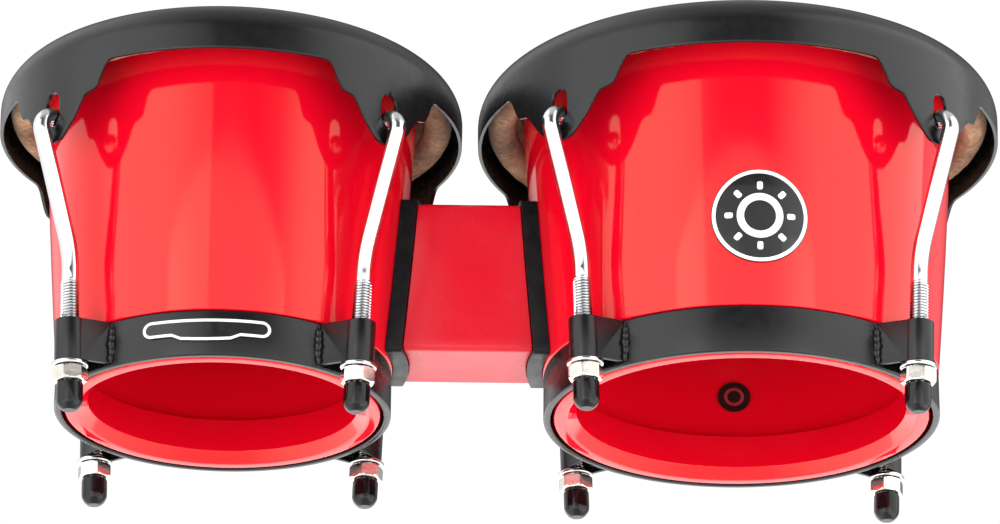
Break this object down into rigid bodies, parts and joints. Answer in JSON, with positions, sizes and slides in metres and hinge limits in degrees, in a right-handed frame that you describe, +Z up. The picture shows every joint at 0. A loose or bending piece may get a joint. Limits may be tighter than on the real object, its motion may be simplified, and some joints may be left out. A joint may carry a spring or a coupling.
{
  "type": "bongo drums",
  "caption": "Bongo drums: two tapered red shells joined by a centre block, with hide heads, flared black rims, hooked tuning lugs, nuts and rubber foot caps.",
  "frame": {"origin": "centre of the footprint of the whole pair, on the surface that the rubber lug caps stand on", "axes": "+X along the pair from the small drum (macho) to the large drum (hembra), -Y towards the side with the badge, +Z up along both drum axes, heads up"},
  "size_m": [0.4324, 0.2256, 0.1708],
  "materials": {
    "red_abs": "high gloss moulded ABS, saturated red",
    "block_red": "satin red, slightly rougher than the shells",
    "black_steel": "satin black powder coat on pressed sheet steel",
    "chrome": "polished chrome plate",
    "nickel": "warm nickel plate, fine turned finish",
    "zinc_steel": "dull zinc plate",
    "black_rubber": "moulded black rubber with a low sheen",
    "buffalo_skin": "natural hide, smooth on the head and fuzzy at the tuck",
    "badge_black": "glossy printed disc with a white ring",
    "label_black": "black plate with a raised white outline"
  },
  "bodies": {
    "frame": {"macho_shell": "red_abs", "macho_head": "buffalo_skin", "macho_bottom_band": "black_steel", "macho_gasket": "black_rubber", "macho_backing_plate": "zinc_steel", "macho_block_bolt_lower": "zinc_steel", "macho_block_bolt_upper": "zinc_steel", "macho_washer_front_left": "chrome", "macho_washer_front_right": "chrome", "macho_washer_back_right": "chrome", "macho_washer_back_left": "chrome", "hembra_shell": "red_abs", "hembra_head": "buffalo_skin", "hembra_bottom_band": "black_steel", "hembra_gasket": "black_rubber", "hembra_backing_plate": "zinc_steel", "hembra_block_bolt_lower": "zinc_steel", "hembra_block_bolt_upper": "zinc_steel", "hembra_washer_front_left": "chrome", "hembra_washer_front_right": "chrome", "hembra_washer_back_right": "chrome", "hembra_washer_back_left": "chrome", "centre_block": "block_red", "hembra_badge": "badge_black", "hembra_inner_label": "badge_black", "macho_band_label": "label_black"},
    "macho_tension_set": {"macho_rim": "black_steel", "macho_flesh_hoop": "zinc_steel", "macho_skin_tuck": "buffalo_skin", "macho_lug_front_left": "chrome", "macho_cap_front_left": "black_rubber", "macho_lug_front_right": "chrome", "macho_cap_front_right": "black_rubber", "macho_lug_back_right": "chrome", "macho_cap_back_right": "black_rubber", "macho_lug_back_left": "chrome", "macho_cap_back_left": "black_rubber"},
    "macho_nut_front_left": {"macho_nut_front_left": "nickel"},
    "macho_nut_front_right": {"macho_nut_front_right": "nickel"},
    "macho_nut_back_right": {"macho_nut_back_right": "nickel"},
    "macho_nut_back_left": {"macho_nut_back_left": "nickel"},
    "hembra_tension_set": {"hembra_rim": "black_steel", "hembra_flesh_hoop": "zinc_steel", "hembra_skin_tuck": "buffalo_skin", "hembra_lug_front_left": "chrome", "hembra_cap_front_left": "black_rubber", "hembra_lug_front_right": "chrome", "hembra_cap_front_right": "black_rubber", "hembra_lug_back_right": "chrome", "hembra_cap_back_right": "black_rubber", "hembra_lug_back_left": "chrome", "hembra_cap_back_left": "black_rubber"},
    "hembra_nut_front_left": {"hembra_nut_front_left": "nickel"},
    "hembra_nut_front_right": {"hembra_nut_front_right": "nickel"},
    "hembra_nut_back_right": {"hembra_nut_back_right": "nickel"},
    "hembra_nut_back_left": {"hembra_nut_back_left": "nickel"}
  },
  "joints": [
    {"name": "macho_tuning", "type": "slide", "parent": "frame", "child": "macho_tension_set", "axis": [0, 0, 1], "range_m": [-0.005, 0]},
    {"name": "macho_nut_front_left_turn", "type": "hinge", "parent": "frame", "child": "macho_nut_front_left", "pos_m": [-0.17627, -0.05805, 0.01541], "axis": [-0.0359, -0.0347, 0.9988], "range_deg": [0, 1442]},
    {"name": "macho_nut_front_right_turn", "type": "hinge", "parent": "frame", "child": "macho_nut_front_right", "pos_m": [-0.0581, -0.06012, 0.01541], "axis": [0.0347, -0.0359, 0.9988], "range_deg": [0, 1442]},
    {"name": "macho_nut_back_right_turn", "type": "hinge", "parent": "frame", "child": "macho_nut_back_right", "pos_m": [-0.05604, 0.05805, 0.01541], "axis": [0.0359, 0.0347, 0.9988], "range_deg": [0, 1442]},
    {"name": "macho_nut_back_left_turn", "type": "hinge", "parent": "frame", "child": "macho_nut_back_left", "pos_m": [-0.1742, 0.06012, 0.01541], "axis": [-0.0347, 0.0359, 0.9988], "range_deg": [0, 1442]},
    {"name": "hembra_tuning", "type": "slide", "parent": "frame", "child": "hembra_tension_set", "axis": [0, 0, 1], "range_m": [-0.005, 0]},
    {"name": "hembra_nut_front_left_turn", "type": "hinge", "parent": "frame", "child": "hembra_nut_front_left", "pos_m": [0.03514, -0.06784, 0.01541], "axis": [-0.0354, -0.0352, 0.9988], "range_deg": [0, 1442]},
    {"name": "hembra_nut_front_right_turn", "type": "hinge", "parent": "frame", "child": "hembra_nut_front_right", "pos_m": [0.17128, -0.06831, 0.01541], "axis": [0.0352, -0.0354, 0.9988], "range_deg": [0, 1442]},
    {"name": "hembra_nut_back_right_turn", "type": "hinge", "parent": "frame", "child": "hembra_nut_back_right", "pos_m": [0.17176, 0.06784, 0.01541], "axis": [0.0354, 0.0352, 0.9988], "range_deg": [0, 1442]},
    {"name": "hembra_nut_back_left_turn", "type": "hinge", "parent": "frame", "child": "hembra_nut_back_left", "pos_m": [0.03562, 0.06831, 0.01541], "axis": [-0.0352, 0.0354, 0.9988], "range_deg": [0, 1442]}
  ],
  "couplings": [
    {"joint": "macho_nut_front_left_turn", "follows": "macho_tuning", "rad_per_m": -5026.5},
    {"joint": "macho_nut_front_right_turn", "follows": "macho_tuning", "rad_per_m": -5026.5},
    {"joint": "macho_nut_back_right_turn", "follows": "macho_tuning", "rad_per_m": -5026.5},
    {"joint": "macho_nut_back_left_turn", "follows": "macho_tuning", "rad_per_m": -5026.5},
    {"joint": "hembra_nut_front_left_turn", "follows": "hembra_tuning", "rad_per_m": -5026.5},
    {"joint": "hembra_nut_front_right_turn", "follows": "hembra_tuning", "rad_per_m": -5026.5},
    {"joint": "hembra_nut_back_right_turn", "follows": "hembra_tuning", "rad_per_m": -5026.5},
    {"joint": "hembra_nut_back_left_turn", "follows": "hembra_tuning", "rad_per_m": -5026.5}
  ]
}
